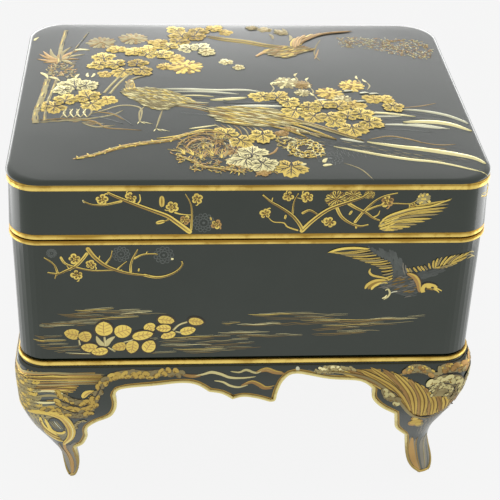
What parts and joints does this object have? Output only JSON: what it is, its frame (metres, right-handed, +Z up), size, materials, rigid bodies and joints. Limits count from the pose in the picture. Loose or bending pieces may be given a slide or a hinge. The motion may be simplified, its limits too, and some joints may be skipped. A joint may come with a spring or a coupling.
{
  "type": "footed box",
  "caption": "Small iron box with a lift-off domed lid, gilt rims and a scalloped stand on cabriole feet, inlaid with birds and flowers.",
  "frame": {"origin": "bottom centre, on the surface that the feet stand on", "axes": "+X along the long side, to the right seen from the decorated front, which faces -Y; +Z up"},
  "size_m": [0.1266, 0.1016, 0.1076],
  "materials": {
    "iron": "smooth, dark patinated iron with a soft sheen, inlaid with gold and silver",
    "gilt": "worn gilding on narrow rounded bands"
  },
  "bodies": {
    "root": {"stand": "iron", "stand_wire": "gilt", "body": "iron", "body_rim": "gilt", "lid_base_rim": "gilt", "lid": "iron", "lid_top_rim": "gilt"}
  },
  "joints": []
}
